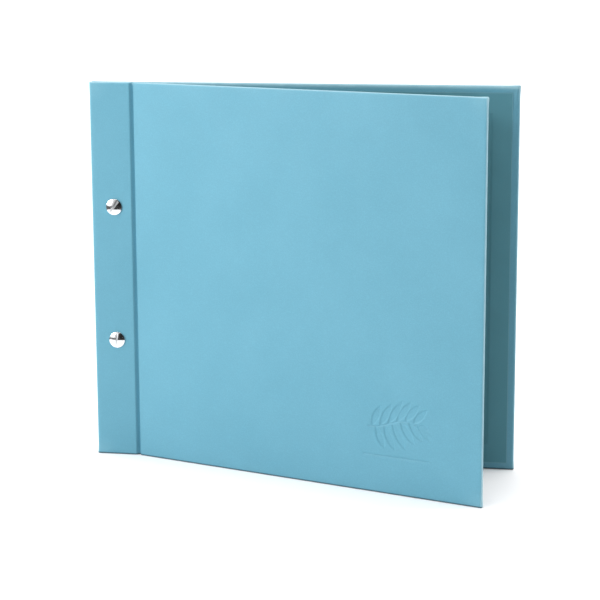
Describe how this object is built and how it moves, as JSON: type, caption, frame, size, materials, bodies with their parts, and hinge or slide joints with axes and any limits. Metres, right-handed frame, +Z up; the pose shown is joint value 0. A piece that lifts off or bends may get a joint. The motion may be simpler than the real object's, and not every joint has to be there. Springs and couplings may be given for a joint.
{
  "type": "scrapbook album",
  "caption": "Post-bound scrapbook album standing ajar: hinged leatherette-wrapped board covers, square card leaves that fan out, and slotted dome-head binding screws in posts.",
  "frame": {"origin": "middle of the bounding box's bottom, on the surface that the album stands on", "axes": "+X from the binding to the fore-edge, along the closed rear cover; +Y from the front cover to the rear cover; +Z up along the binding"},
  "size_m": [0.25, 0.0814, 0.224],
  "materials": {
    "leatherette": "turquoise leatherette with a fine grain, satin-matt",
    "hinge_cloth": "the same leatherette, bare of board, matt",
    "lining_paper": "teal lining paper, matt",
    "grey_board": "raw grey bookbinding board",
    "cardstock": "smooth off-white card",
    "bright_steel": "bright nickel-plated, polished"
  },
  "bodies": {
    "spine": {"front_strip_wrap": "leatherette", "front_strip_board": "grey_board", "front_strip_lining": "lining_paper", "front_hinge_cloth": "hinge_cloth", "rear_strip_wrap": "leatherette", "rear_strip_board": "grey_board", "rear_strip_lining": "lining_paper", "rear_hinge_cloth": "hinge_cloth", "leaf_1_stub": "cardstock", "leaf_2_stub": "cardstock", "leaf_3_stub": "cardstock", "leaf_4_stub": "cardstock", "leaf_5_stub": "cardstock"},
    "front_cover": {"front_panel_wrap": "leatherette", "front_panel_board": "grey_board", "front_panel_lining": "lining_paper"},
    "rear_cover": {"rear_panel_wrap": "leatherette", "rear_panel_board": "grey_board", "rear_panel_lining": "lining_paper"},
    "leaf_1": {"leaf_1_page": "cardstock"},
    "leaf_2": {"leaf_2_page": "cardstock"},
    "leaf_3": {"leaf_3_page": "cardstock"},
    "leaf_4": {"leaf_4_page": "cardstock"},
    "leaf_5": {"leaf_5_page": "cardstock"},
    "screw_upper": {"binding_screw_upper": "bright_steel"},
    "post_upper": {"binding_post_upper": "bright_steel"},
    "screw_lower": {"binding_screw_lower": "bright_steel"},
    "post_lower": {"binding_post_lower": "bright_steel"}
  },
  "joints": [
    {"name": "front_cover_hinge", "type": "hinge", "parent": "spine", "child": "front_cover", "pos_m": [-0.1, 0.03243, 0.112], "axis": [0, 0, -1], "range_deg": [-19, 151], "deforming": ["front_hinge_cloth"]},
    {"name": "rear_cover_hinge", "type": "hinge", "parent": "spine", "child": "rear_cover", "pos_m": [-0.1, 0.03943, 0.112], "axis": [0, 0, 1], "range_deg": [0, 140], "deforming": ["rear_hinge_cloth"]},
    {"name": "leaf_1_turn", "type": "hinge", "parent": "spine", "child": "leaf_1", "pos_m": [-0.0957, 0.03644, 0.112], "axis": [0, 0, -1], "range_deg": [-2.47, 19.63]},
    {"name": "leaf_2_turn", "type": "hinge", "parent": "spine", "child": "leaf_2", "pos_m": [-0.09595, 0.03619, 0.112], "axis": [0, 0, -1], "range_deg": [-4.94, 39.26]},
    {"name": "leaf_3_turn", "type": "hinge", "parent": "spine", "child": "leaf_3", "pos_m": [-0.0962, 0.03593, 0.112], "axis": [0, 0, -1], "range_deg": [-7.41, 58.89]},
    {"name": "leaf_4_turn", "type": "hinge", "parent": "spine", "child": "leaf_4", "pos_m": [-0.09645, 0.03568, 0.112], "axis": [0, 0, -1], "range_deg": [-9.88, 78.52]},
    {"name": "leaf_5_turn", "type": "hinge", "parent": "spine", "child": "leaf_5", "pos_m": [-0.0967, 0.03543, 0.112], "axis": [0, 0, -1], "range_deg": [-12.35, 98.15]},
    {"name": "screw_upper_turn", "type": "hinge", "parent": "spine", "child": "screw_upper", "pos_m": [-0.1115, 0.03243, 0.1508], "axis": [0, -1, 0], "range_deg": [0, 1800]},
    {"name": "post_upper_slide", "type": "slide", "parent": "spine", "child": "post_upper", "axis": [0, 1, 0], "range_m": [0, 0.0035]},
    {"name": "screw_lower_turn", "type": "hinge", "parent": "spine", "child": "screw_lower", "pos_m": [-0.1115, 0.03243, 0.0708], "axis": [0, -1, 0], "range_deg": [0, 1800]},
    {"name": "post_lower_slide", "type": "slide", "parent": "spine", "child": "post_lower", "axis": [0, 1, 0], "range_m": [0, 0.0035]}
  ],
  "couplings": [
    {"joint": "leaf_1_turn", "follows": "front_cover_hinge", "ratio": 0.13},
    {"joint": "leaf_2_turn", "follows": "front_cover_hinge", "ratio": 0.26},
    {"joint": "leaf_3_turn", "follows": "front_cover_hinge", "ratio": 0.39},
    {"joint": "leaf_4_turn", "follows": "front_cover_hinge", "ratio": 0.52},
    {"joint": "leaf_5_turn", "follows": "front_cover_hinge", "ratio": 0.65},
    {"joint": "screw_upper_turn", "follows": "post_upper_slide", "rad_per_m": 8976},
    {"joint": "screw_lower_turn", "follows": "post_lower_slide", "rad_per_m": 8976}
  ]
}
